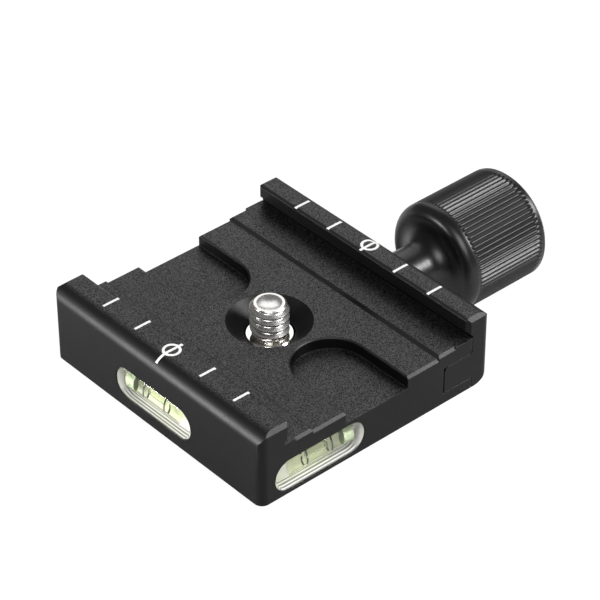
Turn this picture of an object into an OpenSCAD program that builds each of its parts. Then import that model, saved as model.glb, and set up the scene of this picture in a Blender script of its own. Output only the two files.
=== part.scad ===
// Dovetail quick release clamp with two levels and a captive tripod screw.
// The groove runs along Y, the clamping knob points along +X, the deck faces +Z.
// The origin is on the axis of the tripod screw, in the plane of the underside.

/* [Body] */
// Length of the clamp along the dovetail groove
body_l = 50; // [44:0.5:70]
// Height from the underside to the top of the jaws
body_h = 13.6; // [13:0.1:18]
// Thickness of the fixed jaw behind the groove wall
fixed_jaw_t = 4.85; // [4.3:0.05:8]
// Radius of the upright corners at the outer faces
corner_r = 1.1; // [0.5:0.1:2.5]
// Radius along the top outer edge of both jaws
top_r = 1.8; // [1:0.1:3.2]

/* [Dovetail] */
// Width of the plate that the groove takes when the clamp is fully closed
plate_w = 38; // [36:0.1:39]
// Free play between that plate and the groove walls, both sides together
plate_play = 0.9; // [0.2:0.1:1.5]
// How far the middle of the closed groove lies off the screw axis, towards the jaw
groove_offset = 0.8; // [0:0.1:1]
// How far each lip reaches over the plate
lip_reach = 1.1; // [0.6:0.1:1.6]
// Height of the upright nose of each lip
nose_h = 1.9; // [1.2:0.1:2.3]
// Height of the deck between the pockets
deck_z = 9.3; // [9.1:0.1:10]
// How far the two bearing rails stand above the deck
rail_h = 0.5; // [0.2:0.1:0.9]
// Distance from the screw axis to the foot of each rail
rail_x = 12.8; // [11:0.1:14]
// Length of the chamfered stretch at each end of a rail
rail_run = 3.2; // [1:0.1:4]
// Chamfer at both ends of the deck and rails
deck_chamfer = 0.45; // [0.2:0.05:0.8]
// Chamfer at both ends of each lip
lip_chamfer = 0.65; // [0.2:0.05:1]
// Chamfer along the inner top edge of each lip
lip_edge = 0.4; // [0.1:0.05:0.6]

/* [Deck pockets] */
// Radius of the round inner end of each pocket
pocket_r = 6.4; // [4:0.1:7]
// Depth of each pocket below the deck
pocket_depth = 2.1; // [1:0.1:2.2]
// Distance from the screw axis to the centre of the round end
pocket_y = 14.6; // [14.2:0.1:17]
// Chamfer round the rim of each pocket
pocket_rim = 0.2; // [0.1:0.05:0.4]

/* [Moving jaw] */
// Thickness of the jaw wall outside the body
jaw_wall = 3.65; // [2.8:0.05:5]
// Radius along the bottom outer edge of the jaw
jaw_foot_r = 3.2; // [1:0.1:3.4]
// Depth of the slot that the tongue slides in
slot_depth = 6.1; // [5:0.1:6.4]
// Height of the lower flange under the slot
flange_h = 1.95; // [1.5:0.05:2.2]
// Height of the slot
slot_h = 5; // [4.6:0.1:5]
// Running clearance above and below the tongue
tongue_gap = 0.1; // [0.02:0.01:0.1]
// Clearance between the end of the tongue and the slot when closed
tongue_end_gap = 0.3; // [0.2:0.05:0.6]
// Clearance between the jaw wall and the body when closed
jaw_gap = 0.15; // [0.1:0.05:0.3]
// Chamfer along the top edge of the tongue
tongue_chamfer = 0.7; // [0.3:0.1:1]
// Chamfer under the end of the body's upper arm
arm_chamfer = 0.5; // [0.2:0.1:0.8]

/* [Clamping screw and knob] */
// Height of the knob axis above the underside
knob_z = 3.6; // [3.5:0.1:4.2]
// Diameter of the clamping stud
stud_d = 5; // [4:0.1:5]
// Distance from the screw axis to the inner tip of the stud when closed
stud_tip_x = 7.6; // [7.4:0.1:9]
// Radial clearance of the stud in its threaded bore
stud_fit = 0.04; // [0.02:0.01:0.08]
// Radial clearance of the stud in the jaw
stud_clear = 0.25; // [0.15:0.05:0.4]
// Diameter of the knob over the knurl
knob_d = 19.5; // [17:0.1:22]
// Length of the knob barrel
knob_l = 17.95; // [14:0.05:20]
// Diameter of the neck between the jaw and the barrel
neck_d = 8.6; // [8:0.1:10]
// Length from the jaw washer to the front of the barrel
neck_l = 10.1; // [9:0.1:14]
// Radius of the hollow flare from the neck to the front of the knob
flare_r = 3.4; // [2:0.1:4]
// Radius of the rounded front shoulder of the barrel
shoulder_r = 2.1; // [1:0.1:3]
// Length of the plain band behind the knurl
band_l = 1.6; // [1:0.1:3]
// Chamfer round the outer end of the knob
knob_chamfer = 0.7; // [0.3:0.1:1]
// Number of flutes in the knurl
flutes = 72; // [48:2:90]
// Depth of each flute
flute_depth = 0.28; // [0.1:0.02:0.4]
// Diameter of the head of the lock screw in the knob's end
lock_head_d = 5.5; // [4.5:0.1:6]
// Height of the lock screw's head
lock_head_h = 3; // [2:0.1:3.5]
// Diameter of the lock screw's thread
lock_thread_d = 3; // [2:0.1:3]
// Width of the lock screw's hexagon socket across its corners
lock_socket_d = 2.9; // [2:0.1:3.2]
// Depth of the lock screw's socket
lock_socket_depth = 1.6; // [1:0.1:2]
// How far the lock screw reaches into the stud
lock_grip = 6; // [4:0.1:8]
// Thickness of the thrust washer under the neck
washer_t = 0.8; // [0.5:0.1:1.2]
// Diameter of the thrust washer
washer_d = 10; // [9:0.1:11]

/* [Guide pins and springs] */
// Distance from each end of the body to the guide pin there
pin_inset = 9; // [8:0.1:10]
// Height of the guide pins above the underside
pin_z = 4.2; // [4:0.1:4.4]
// Diameter of the guide pins
pin_d = 3; // [2.5:0.1:3]
// Radial running clearance of a guide pin in its bore
pin_fit = 0.05; // [0.02:0.01:0.1]
// How far a guide pin reaches past the tongue
pin_out = 10.5; // [9:0.1:11]
// Wire diameter of a return spring
wire_d = 0.45; // [0.3:0.05:0.5]
// Number of turns of a return spring
spring_turns = 6; // [4:1:7]
// Length of the spring seat in the body
spring_l = 6; // [5.5:0.1:7]

/* [Tripod screw] */
// Major diameter of the screw thread, a quarter of an inch
thread_d = 6.35; // [6.35:0.01:6.35]
// Height of the screw above the deck
screw_out = 3.5; // [2:0.1:5]
// Diameter of the countersink at the deck
csk_d = 14; // [12:0.1:15]
// Depth of the countersink down to the retaining ring
csk_depth = 2.45; // [2:0.05:2.6]
// Diameter of the retaining ring
ring_d = 7.9; // [7.7:0.1:8.4]
// Depth of the ring's groove in the screw
ring_groove = 0.5; // [0.3:0.1:0.8]
// Thickness of the retaining ring
ring_t = 0.8; // [0.6:0.1:1]
// Diameter of the screw head
head_d = 12.2; // [11:0.1:12.2]
// Height of the screw head
head_h = 3.4; // [2.8:0.1:3.6]
// Clearance round the screw, its head and its ring
screw_clear = 0.2; // [0.1:0.05:0.3]

/* [Levels] */
// Length of each level window
level_l = 18.2; // [16:0.1:20]
// Height of each level window
level_h = 5.9; // [5:0.1:6]
// Depth of each level block
level_depth = 5; // [4:0.1:5.5]
// Clearance round each level block
level_gap = 0.05; // [0.03:0.01:0.1]
// Height of the side level's centre line
side_level_z = 4.85; // [4:0.05:6]
// Place of the side level's centre along the groove
side_level_y = 0.4; // [-2:0.1:2]
// Height of the end level's centre line
end_level_z = 3.5; // [3.4:0.05:5]
// Distance of the end level's centre from the screw axis
end_level_x = 11.5; // [10.5:0.1:12]
// Bore of each vial
vial_d = 3.8; // [3:0.1:4]
// Length of the liquid in each vial
vial_l = 13.6; // [11:0.1:14]
// Distance between the two ring lines
ring_pitch = 5; // [4:0.1:6]

/* [Index marks] */
// Distance between neighbouring index marks
mark_pitch = 7.8; // [6:0.1:9]
// Length of a short mark
mark_l = 3.1; // [2:0.1:3.3]
// Width of a painted line
mark_w = 0.45; // [0.3:0.05:0.6]
// Distance from the outer end of the centre line to the jaw's outer face
centre_margin = 0.4; // [0.3:0.05:1.5]
// How far the centre ring stands outside the middle of the short marks
ring_shift = 0.6; // [0:0.1:0.8]
// Depth of the painted groove
mark_depth = 0.12; // [0.08:0.02:0.2]
// Diameter of the ring round the centre mark
mark_ring_d = 2.6; // [2:0.1:3]

/* [Hidden] */
$fn = 48;

half_l = body_l / 2;
pin_y = half_l - pin_inset;
rail_z = deck_z + rail_h;
groove_w = plate_w + plate_play;
fixed_wall = groove_offset - groove_w / 2;
wall_x = fixed_wall + groove_w;
arm_x = wall_x - jaw_gap;
fixed_nose = fixed_wall + lip_reach;
fixed_out = fixed_jaw_t - fixed_wall;
jaw_nose = wall_x - lip_reach;
jaw_out = wall_x + jaw_wall;
nose_z = body_h - lip_edge - nose_h;
slot_x = arm_x - slot_depth;
slot_top = flange_h + slot_h;
tongue_x = slot_x + tongue_end_gap;
pocket_z = deck_z - pocket_depth;

ring_z = deck_z - csk_depth;
ring_seat_z = ring_z - ring_t - 0.05;
head_z = 0.2;
head_seat_z = head_z + head_h + 0.05;
screw_top = deck_z + screw_out;
tip_chamfer = 0.7;
thread_clear_d = thread_d + 2 * screw_clear;

face_gap = 0.05;
washer_x = jaw_out + face_gap;
neck_x = washer_x + washer_t + face_gap;
barrel_x = neck_x + neck_l;
knob_end = barrel_x + knob_l;
lock_seat_x = knob_end - lock_head_h - 0.4;
stud_end_x = lock_seat_x - 1;
press_gap = 0.01;

pin_tip_x = tongue_x - pin_out;
pin_end_x = jaw_out - 1.2;
spring_r = pin_d / 2 + 0.25 + wire_d / 2;
spring_seat_d = 2 * spring_r + wire_d + 0.6;
spring_x0 = slot_x - spring_l + wire_d / 2 + face_gap;
spring_x1 = tongue_x - wire_d / 2 - face_gap;

vial_depth = level_depth / 2;
ring_line_w = 0.3;
ring_line_t = 0.12;
bubble_d = 2.6;
bubble_l = ring_pitch - 0.6;
flute_n = 4;
knurl_step = 0.2;

// The L-shaped corner that is left over outside a rounded edge of radius r
module edge_round_cut(r) {
    difference() {
        square([r + 1, r + 1]);
        circle(r = r);
    }
}

// A bar along the groove, its outline drawn with X across and Y up
module along_groove(length) {
    translate([0, length / 2, 0]) rotate([90, 0, 0]) linear_extrude(height = length) children();
}

// A cylinder along X between two places
module bar_x(x0, x1, d, y, z) {
    translate([x0, y, z]) rotate([0, 90, 0]) cylinder(d = d, h = x1 - x0);
}

// Outline of a jaw above the rails, from its outer face to its nose
module lip_outline(out, wall, nose) {
    side = sign(nose - wall);
    polygon([
        [out, rail_z - 1], [out, body_h],
        [nose - side * lip_edge, body_h], [nose, body_h - lip_edge],
        [nose, nose_z], [wall, nose_z - lip_reach], [wall, rail_z - 1]
    ]);
}

module base_outline() {
    difference() {
        union() {
            polygon([
                [-fixed_out, 0], [-fixed_out, rail_z],
                [-rail_x - rail_h, rail_z], [-rail_x, deck_z],
                [rail_x, deck_z], [rail_x + rail_h, rail_z],
                [arm_x, rail_z], [arm_x, 0]
            ]);
            lip_outline(-fixed_out, fixed_wall, fixed_nose);
        }
        translate([-fixed_out + top_r, body_h - top_r]) mirror([1, 0]) edge_round_cut(top_r);
        translate([slot_x, flange_h]) square([slot_depth + 1, slot_h]);
        translate([arm_x, slot_top]) rotate(45) square(sqrt(2) * arm_chamfer, center = true);
    }
}

module jaw_outline() {
    difference() {
        union() {
            translate([wall_x, 0]) square([jaw_wall, rail_z]);
            translate([tongue_x, flange_h + tongue_gap])
                square([wall_x - tongue_x + 1, slot_h - 2 * tongue_gap]);
            lip_outline(jaw_out, wall_x, jaw_nose);
        }
        translate([jaw_out - top_r, body_h - top_r]) edge_round_cut(top_r);
        translate([jaw_out - jaw_foot_r, jaw_foot_r]) mirror([0, 1]) edge_round_cut(jaw_foot_r);
        translate([tongue_x, slot_top - tongue_gap])
            rotate(45) square(sqrt(2) * tongue_chamfer, center = true);
    }
}

// Cuts a chamfer along X on the top edge at both ends of the groove
module end_chamfers(x0, x1, top, c) {
    s = sqrt(2) * c;
    for (side = [-1, 1])
        translate([x0, side * half_l, top]) rotate([45, 0, 0]) translate([0, -s / 2, -s / 2])
            cube([x1 - x0, s, s]);
}

// Cuts the upright chamfers at both ends of a lip's nose
module nose_chamfers(x) {
    s = sqrt(2) * lip_chamfer;
    for (side = [-1, 1])
        translate([x, side * half_l, body_h]) rotate(45)
            cube([s, s, 2 * (body_h - nose_z + lip_reach)], center = true);
}

// Rounds the upright corners at both ends of an outer face, side is -1 or 1
module corner_cuts(out, side) {
    for (end = [0, 1])
        mirror([0, end, 0])
            translate([out - side * corner_r, half_l - corner_r, -1])
                mirror([side < 0 ? 1 : 0, 0, 0])
                    linear_extrude(height = body_h + 2) edge_round_cut(corner_r);
}

// A pocket in the deck, round at its inner end and open at the groove's end
module deck_pocket() {
    reach = half_l - pocket_y + 1;
    rim_r = pocket_r + pocket_rim;
    translate([0, pocket_y, pocket_z]) {
        cylinder(r = pocket_r, h = pocket_depth + 1);
        translate([-pocket_r, 0, 0]) cube([2 * pocket_r, reach, pocket_depth + 1]);
    }
    translate([0, pocket_y, deck_z - pocket_rim]) {
        cylinder(r1 = pocket_r, r2 = rim_r, h = pocket_rim);
        translate([0, reach, 0]) rotate([90, 0, 0]) linear_extrude(height = reach)
            polygon([
                [-pocket_r, 0], [-rim_r, pocket_rim], [rim_r, pocket_rim], [pocket_r, 0]
            ]);
    }
}

// The centre hole: countersink, ring recess, clearance bore and head recess
module screw_hole() {
    translate([0, 0, ring_z])
        cylinder(d1 = ring_d + 2 * screw_clear, d2 = csk_d, h = csk_depth);
    translate([0, 0, ring_seat_z]) cylinder(d = ring_d + 2 * screw_clear, h = 2);
    translate([0, 0, -1]) cylinder(d = thread_clear_d, h = body_h);
    translate([0, 0, -1]) cylinder(d = head_d + 2 * screw_clear, h = head_seat_z + 1);
}

// Threaded bore for the stud, with a clear way past the flange
module stud_bore() {
    bar_x(stud_tip_x - 0.4, slot_x + 1, stud_d + 2 * stud_fit, 0, knob_z);
    bar_x(slot_x, arm_x + 1, stud_d + 2 * stud_clear, 0, knob_z);
}

// Bore for one guide pin, with the seat of its return spring
module pin_bore(side) {
    bar_x(pin_tip_x - 0.5, slot_x, pin_d + 2 * pin_fit, side * pin_y, pin_z);
    bar_x(slot_x - spring_l, slot_x + 0.1, spring_seat_d, side * pin_y, pin_z);
}

// A long outline with round ends, in the middle of the plane
module stadium(length, height) {
    square([length - height, height], center = true);
    for (side = [-1, 1])
        translate([side * (length - height) / 2, 0]) circle(d = height);
}

// A level's own frame: X along the vial, Y up, Z from the face into the body
module at_side_level() {
    translate([-fixed_out, side_level_y, side_level_z]) rotate([90, 0, 90]) children();
}
module at_end_level() {
    translate([-end_level_x, -half_l, end_level_z]) rotate([90, 0, 180]) children();
}

module level_window() {
    translate([0, 0, -1]) linear_extrude(height = level_depth + 1 + level_gap)
        stadium(level_l, level_h);
}

// Outlines of the painted index marks of a jaw whose nose and outer face lie at
// these distances from the screw axis, drawn on the +X side
module mark_lines(nose, out) {
    inner = nose + 0.05;
    for (step = [-2, -1, 1, 2])
        translate([inner, step * mark_pitch - mark_w / 2]) square([nose + mark_l - inner, mark_w]);
    translate([inner, -mark_w / 2]) square([out - centre_margin - inner, mark_w]);
    translate([nose + mark_l / 2 + ring_shift, 0]) difference() {
        circle(d = mark_ring_d + mark_w);
        circle(d = mark_ring_d - mark_w);
    }
}

// The paint that fills the marks: a layer as deep as the marks under the jaw's top
module mark_fill() {
    intersection() {
        translate([0, 0, nose_z]) linear_extrude(height = body_h) children(0);
        along_groove(body_l) difference() {
            children(1);
            translate([0, -mark_depth]) children(1);
        }
    }
}

module fixed_mark_fill() {
    mark_fill() {
        mirror([1, 0]) mark_lines(-fixed_nose, fixed_out);
        fixed_top_outline();
    }
}

module jaw_mark_fill() {
    mark_fill() {
        mark_lines(jaw_nose, jaw_out);
        jaw_top_outline();
    }
}

module fixed_top_outline() {
    difference() {
        lip_outline(-fixed_out, fixed_wall, fixed_nose);
        translate([-fixed_out + top_r, body_h - top_r]) mirror([1, 0]) edge_round_cut(top_r);
    }
}

module jaw_top_outline() {
    difference() {
        lip_outline(jaw_out, wall_x, jaw_nose);
        translate([jaw_out - top_r, body_h - top_r]) edge_round_cut(top_r);
    }
}

module fixed_jaw_marks() {
    color("white") fixed_mark_fill();
}

module moving_jaw_marks() {
    color("white") jaw_mark_fill();
}

module base_block() {
    color("#2b2b2b") difference() {
        along_groove(body_l) base_outline();
        corner_cuts(-fixed_out, -1);
        end_chamfers(-rail_x - 0.2, rail_x + 0.2, deck_z, deck_chamfer);
        for (side = [0, 1])
            mirror([side, 0, 0])
                end_chamfers(rail_x + 0.1, rail_x + rail_h + rail_run, rail_z, deck_chamfer);
        end_chamfers(-fixed_out - 1, fixed_nose + 1, body_h, lip_chamfer);
        nose_chamfers(fixed_nose);
        deck_pocket();
        mirror([0, 1, 0]) deck_pocket();
        screw_hole();
        stud_bore();
        for (side = [-1, 1]) pin_bore(side);
        at_side_level() level_window();
        at_end_level() level_window();
        fixed_mark_fill();
    }
}

module moving_jaw() {
    color("#2b2b2b") difference() {
        along_groove(body_l) jaw_outline();
        corner_cuts(jaw_out, 1);
        end_chamfers(jaw_nose - 1, jaw_out + 1, body_h, lip_chamfer);
        nose_chamfers(jaw_nose);
        bar_x(tongue_x - 1, jaw_out + 1, stud_d + 2 * stud_clear, 0, knob_z);
        for (side = [-1, 1])
            bar_x(tongue_x - 1, pin_end_x, pin_d + 2 * press_gap, side * pin_y, pin_z);
        jaw_mark_fill();
    }
}

// Guide pin: pressed into the jaw, with a chamfered free end
module guide_pin(side) {
    color("silver") translate([pin_tip_x, side * pin_y, pin_z]) rotate([0, 90, 0]) {
        cylinder(d1 = pin_d - 1, d2 = pin_d, h = 0.5);
        translate([0, 0, 0.5]) cylinder(d = pin_d, h = pin_end_x - press_gap - pin_tip_x - 0.5);
    }
}
module guide_pin_near() {
    guide_pin(-1);
}
module guide_pin_far() {
    guide_pin(1);
}

// Points of a round wire on its coil, at a share t of the whole length
function wire_ring(t, sides) = let (
    a = 360 * spring_turns * t,
    x = spring_x0 + t * (spring_x1 - spring_x0)
) [for (k = [0 : sides - 1]) let (
    b = 360 * k / sides,
    r = spring_r + wire_d / 2 * cos(b)
) [x + wire_d / 2 * sin(b), r * cos(a), r * sin(a)]];

module return_spring(side) {
    sides = 6;
    rings = 14 * spring_turns;
    points = [for (i = [0 : rings]) each wire_ring(i / rings, sides)];
    skin = [for (i = [0 : rings - 1], k = [0 : sides - 1]) let (
        a = i * sides + k,
        b = i * sides + (k + 1) % sides
    ) [a, b, b + sides, a + sides]];
    first_cap = [for (k = [sides - 1 : -1 : 0]) k];
    last_cap = [for (k = [0 : sides - 1]) rings * sides + k];
    color("silver") translate([0, side * pin_y, pin_z])
        polyhedron(points = points, faces = concat(skin, [first_cap, last_cap]));
}
module return_spring_near() {
    return_spring(-1);
}
module return_spring_far() {
    return_spring(1);
}

module thrust_washer() {
    color("ivory") difference() {
        bar_x(washer_x, washer_x + washer_t, washer_d, 0, knob_z);
        bar_x(washer_x - 1, neck_x + 1, stud_d + 2 * stud_clear, 0, knob_z);
    }
}

// Stud: screwed into the body, fixed in the knob and tapped for the lock screw
module clamp_stud() {
    color("silver") difference() {
        union() {
            translate([stud_tip_x, 0, knob_z]) rotate([0, 90, 0])
                cylinder(d1 = stud_d - 1, d2 = stud_d, h = 0.5);
            bar_x(stud_tip_x + 0.5, stud_end_x, stud_d, 0, knob_z);
        }
        bar_x(stud_end_x - lock_grip - 1, stud_end_x + 1, lock_thread_d + 2 * press_gap, 0, knob_z);
    }
}

// Half outline of the turned knob: X along its axis from the neck, Y is the radius
module knob_outline() {
    full_r = knob_d / 2;
    neck_r = neck_d / 2;
    foot_r = neck_r + flare_r;
    difference() {
        union() {
            square([neck_l, neck_r]);
            translate([neck_l - flare_r, 0]) square([flare_r + 1, foot_r]);
            translate([neck_l, 0]) square([knob_l, full_r - shoulder_r]);
            translate([neck_l + shoulder_r, 0]) square([knob_l - shoulder_r, full_r]);
            translate([neck_l + shoulder_r, full_r - shoulder_r]) circle(r = shoulder_r);
        }
        translate([neck_l - flare_r, foot_r]) circle(r = flare_r);
        translate([neck_l + knob_l, full_r])
            rotate(45) square(sqrt(2) * knob_chamfer, center = true);
        translate([-1, -full_r - 1]) square([neck_l + knob_l + 2, full_r + 1]);
    }
}

// Cross section of the knurl: flutes between ridges that end outside the barrel
function knurl_points() = [for (i = [0 : flutes - 1], k = [0 : flute_n - 1]) let (
    a = 360 / flutes * (i + k / flute_n),
    r = knob_d / 2 + (k < 2 ? 0.1 : -flute_depth)
) [r * cos(a), r * sin(a)]];

module clamp_knob() {
    knurl_x = neck_l + shoulder_r + knurl_step;
    knurl_l = knob_l - shoulder_r - knurl_step - band_l;
    color("#1d1d1d") translate([neck_x, 0, knob_z]) rotate([0, 90, 0]) difference() {
        rotate_extrude() rotate(90) mirror([0, 1]) knob_outline();
        translate([0, 0, knurl_x]) linear_extrude(height = knurl_l) difference() {
            circle(d = knob_d + 2);
            polygon(knurl_points());
        }
        translate([0, 0, -1]) cylinder(d = stud_d + 2 * press_gap, h = stud_end_x - neck_x + 1);
        translate([0, 0, lock_seat_x - neck_x]) cylinder(d = lock_head_d + 0.6, h = knob_l);
        cylinder(d = lock_thread_d + 0.2, h = neck_l + knob_l);
    }
}

module knob_lock_screw() {
    color("silver") difference() {
        union() {
            bar_x(lock_seat_x + face_gap, lock_seat_x + lock_head_h, lock_head_d, 0, knob_z);
            bar_x(stud_end_x - lock_grip, lock_seat_x + 1, lock_thread_d, 0, knob_z);
        }
        translate([lock_seat_x + lock_head_h - lock_socket_depth, 0, knob_z])
            rotate([0, 90, 0]) cylinder(d = lock_socket_d, h = lock_socket_depth + 1, $fn = 6);
    }
}

// Tripod screw: slotted head in the underside, thread standing out of the deck
module mount_screw() {
    dimple_r = 3;
    dimple_depth = 0.35;
    slot_w = 1.6;
    color("lightgray") difference() {
        union() {
            translate([0, 0, head_z]) cylinder(d1 = head_d - 0.8, d2 = head_d, h = 0.4);
            translate([0, 0, head_z + 0.4]) cylinder(d = head_d, h = head_h - 0.4);
            translate([0, 0, head_z + head_h - 0.5])
                cylinder(d = thread_d, h = screw_top - tip_chamfer - head_z - head_h + 0.5);
            translate([0, 0, screw_top - tip_chamfer])
                cylinder(d1 = thread_d, d2 = thread_d - 2 * tip_chamfer, h = tip_chamfer);
        }
        translate([-head_d, -slot_w / 2, -1]) cube([2 * head_d, slot_w, 1 + head_z + head_h / 2]);
        translate([0, 0, ring_seat_z + 0.05]) difference() {
            cylinder(d = 2 * thread_d, h = ring_t);
            translate([0, 0, -1]) cylinder(d = thread_d - 2 * ring_groove, h = ring_t + 2);
        }
        translate([0, 0, screw_top + dimple_r - dimple_depth]) sphere(r = dimple_r);
    }
}

// Open ring that snaps into the screw's groove, its gap on the far side
module retaining_ring() {
    gap = 2;
    color("whitesmoke") translate([0, 0, ring_z - ring_t]) difference() {
        union() {
            cylinder(d = ring_d, h = ring_t - 0.2);
            translate([0, 0, ring_t - 0.2]) cylinder(d1 = ring_d, d2 = ring_d - 0.4, h = 0.2);
        }
        translate([0, 0, -1])
            cylinder(d = thread_d - 2 * ring_groove + 2 * press_gap, h = ring_t + 2);
        rotate(45) translate([0, -gap / 2, -1]) cube([ring_d, gap, ring_t + 2]);
    }
}

// A bar along a level's own X, on the axis of its vial
module vial_bar(x0, x1, d) {
    translate([x0, 0, vial_depth]) rotate([0, 90, 0]) cylinder(d = d, h = x1 - x0);
}

module ring_lines(d, w) {
    for (side = [-1, 1])
        vial_bar(side * ring_pitch / 2 - w / 2, side * ring_pitch / 2 + w / 2, d);
}

module level_body() {
    translate([0, 0, level_gap]) linear_extrude(height = level_depth - level_gap)
        stadium(level_l - 2 * level_gap, level_h - 2 * level_gap);
}

// Clear block of a level: round ends and a drilled vial, open where the plug closes it
module level_block() {
    color("lightcyan", 0.6) difference() {
        level_body();
        vial_bar(-level_l, vial_l / 2 + level_gap, vial_d);
        ring_lines(vial_d + 2 * ring_line_t, ring_line_w + 0.02);
    }
}

module level_liquid() {
    color("yellowgreen", 0.7) difference() {
        vial_bar(-vial_l / 2, vial_l / 2, vial_d - 2 * press_gap);
        translate([0, vial_d / 2 - 0.9, vial_depth]) {
            rotate([0, 90, 0]) cylinder(d = bubble_d, h = bubble_l - bubble_d, center = true);
            for (side = [-1, 1])
                translate([side * (bubble_l - bubble_d) / 2, 0, 0]) sphere(d = bubble_d);
        }
    }
}

module level_rings() {
    color("black") difference() {
        ring_lines(vial_d + 2 * ring_line_t - 2 * press_gap, ring_line_w);
        vial_bar(-level_l, level_l, vial_d + 2 * press_gap);
    }
}

module level_plug() {
    color("palegreen") intersection() {
        vial_bar(-level_l, -vial_l / 2 - face_gap, vial_d - 2 * press_gap);
        level_body();
    }
}

module side_level_block() {
    at_side_level() level_block();
}
module side_level_liquid() {
    at_side_level() level_liquid();
}
module side_level_rings() {
    at_side_level() level_rings();
}
module side_level_plug() {
    at_side_level() level_plug();
}
module end_level_block() {
    at_end_level() level_block();
}
module end_level_liquid() {
    at_end_level() level_liquid();
}
module end_level_rings() {
    at_end_level() level_rings();
}
module end_level_plug() {
    at_end_level() level_plug();
}

base_block();
fixed_jaw_marks();
moving_jaw();
moving_jaw_marks();
guide_pin_near();
guide_pin_far();
return_spring_near();
return_spring_far();
thrust_washer();
clamp_stud();
clamp_knob();
knob_lock_screw();
mount_screw();
retaining_ring();
side_level_block();
side_level_liquid();
side_level_rings();
side_level_plug();
end_level_block();
end_level_liquid();
end_level_rings();
end_level_plug();
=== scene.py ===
import math

import bmesh
import bpy
from mathutils import Matrix, Vector


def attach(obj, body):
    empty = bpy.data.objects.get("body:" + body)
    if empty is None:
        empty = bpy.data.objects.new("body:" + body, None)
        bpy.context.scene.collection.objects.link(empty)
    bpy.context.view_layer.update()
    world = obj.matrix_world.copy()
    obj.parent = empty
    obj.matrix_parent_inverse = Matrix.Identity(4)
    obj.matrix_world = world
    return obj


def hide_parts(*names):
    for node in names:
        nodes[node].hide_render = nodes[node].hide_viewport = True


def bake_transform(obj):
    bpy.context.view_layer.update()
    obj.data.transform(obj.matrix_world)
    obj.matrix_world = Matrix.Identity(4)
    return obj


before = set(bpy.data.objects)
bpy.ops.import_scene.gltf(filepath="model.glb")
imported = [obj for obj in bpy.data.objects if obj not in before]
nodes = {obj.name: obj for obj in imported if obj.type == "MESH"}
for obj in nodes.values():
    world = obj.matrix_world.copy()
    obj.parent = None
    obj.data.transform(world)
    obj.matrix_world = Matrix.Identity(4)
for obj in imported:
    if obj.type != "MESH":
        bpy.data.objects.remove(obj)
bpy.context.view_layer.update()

MM = 0.001

# Places and sizes in millimetres, the same as in the part's source
KNOB_Z = 3.6
NECK_X = 24.8
NECK_L = 10.1
KNOB_L = 17.95
NECK_R = 4.3
KNOB_R = 9.75
FLARE_R = 3.4
SHOULDER_R = 2.1
KNOB_CHAMFER = 0.7
BAND_L = 1.6
FLUTES = 72
FLUTE_DEPTH = 0.3
KNOB_BORE_R = 2.51
LOCK_RECESS_R = 3.05
LOCK_RECESS_L = 3.4
LOCK_THREAD_R = 1.6
STUD_R = 2.5
STUD_TIP_X = 7.6
STUD_END_X = 48.45
PIN_Y = 16.0
PIN_Z = 4.2
SPRING_X0 = 8.275
SPRING_X1 = 14.025
SPRING_R = 1.975
WIRE_R = 0.225
SPRING_TURNS = 6
THREAD_R = 3.175
THREAD_PITCH = 1.27
THREAD_DEPTH = 0.69
RING_TOP_Z = 6.85
RING_FOOT_Z = 6.05
SCREW_TOP_Z = 12.8
HEAD_R = 6.1
HEAD_Z = 0.2
HEAD_H = 3.4
SLOT_W = 1.6
LEVEL_L = 18.1
LEVEL_H = 5.8
LEVEL_DEPTH = 5.0
LEVEL_ROUNDING = 0.3
LEVEL_SET_BACK = 0.06
VIAL_R = 1.35
VIAL_L = 10.6
PLUG_L = 1.9
RING_SHIFT = 0.35
BUBBLE_R = 0.95
BUBBLE_L = 4.4
FLOOR_Z = -6.2
CUTTER_ROOM = 1.0
BODY_H = 13.6
HALF_L = 25.0
FIXED_OUT = -23.5
JAW_OUT = 23.9
FIXED_NOSE = -17.55
JAW_NOSE = 19.15
MARK_PITCH = 7.8
MARK_L = 3.1
MARK_W = 0.45
MARK_RING_R = 1.3
MARK_RING_SHIFT = 0.6
CENTRE_MARGIN = 0.7
LINE_INSET = 0.05
LINE_DEPTH = 0.1
LINE_PROUD = 0.02
RING_PROUD = 0.012
CSK_R = 7.0
RING_PITCH = 5.0
RING_W = 0.32
RING_HALF_THICK = 0.05
# Arcs of a ring line that show, in degrees from its rear: in front, then behind
RING_ARCS = ((100.0, 205.0), (5.0, -75.0))
# Radii that the photograph shows on the outer edges
FIXED_TOP_R = 2.8
FIXED_CORNER_R = 1.5
JAW_TOP_R = 2.2
JAW_CORNER_R = 1.4


def srgb(code):
    """Turns an sRGB hex colour into the linear colour that a shader takes."""
    channels = [int(code[i : i + 2], 16) / 255 for i in (1, 3, 5)]
    linear = [c / 12.92 if c <= 0.04045 else ((c + 0.055) / 1.055) ** 2.4 for c in channels]
    return (*linear, 1.0)


def per_mm(size):
    """Texture scale that gives a pattern of this size in millimetres."""
    return 1.0 / (size * MM)


def node(tree, kind, values=None, **settings):
    """Adds a node with its settings, and fills its inputs with links or plain values."""
    made = tree.nodes.new(kind)
    for key, value in settings.items():
        setattr(made, key, value)
    for key, value in (values or {}).items():
        if isinstance(value, bpy.types.NodeSocket):
            tree.links.new(value, made.inputs[key])
        else:
            made.inputs[key].default_value = value
    return made


def blank(name, values):
    """A new material with these plain values on its surface shader."""
    made = bpy.data.materials.new(name)
    made.use_nodes = True
    surface = made.node_tree.nodes["Principled BSDF"]
    for key, value in values.items():
        surface.inputs[key].default_value = value
    return made, made.node_tree, surface


def mixed(tree, factor, low, high):
    """Colour between two hex colours or links."""
    ends = [srgb(c) if isinstance(c, str) else c for c in (low, high)]
    return node(
        tree, "ShaderNodeMix", {0: factor, 6: ends[0], 7: ends[1]}, data_type="RGBA"
    ).outputs[2]


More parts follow.
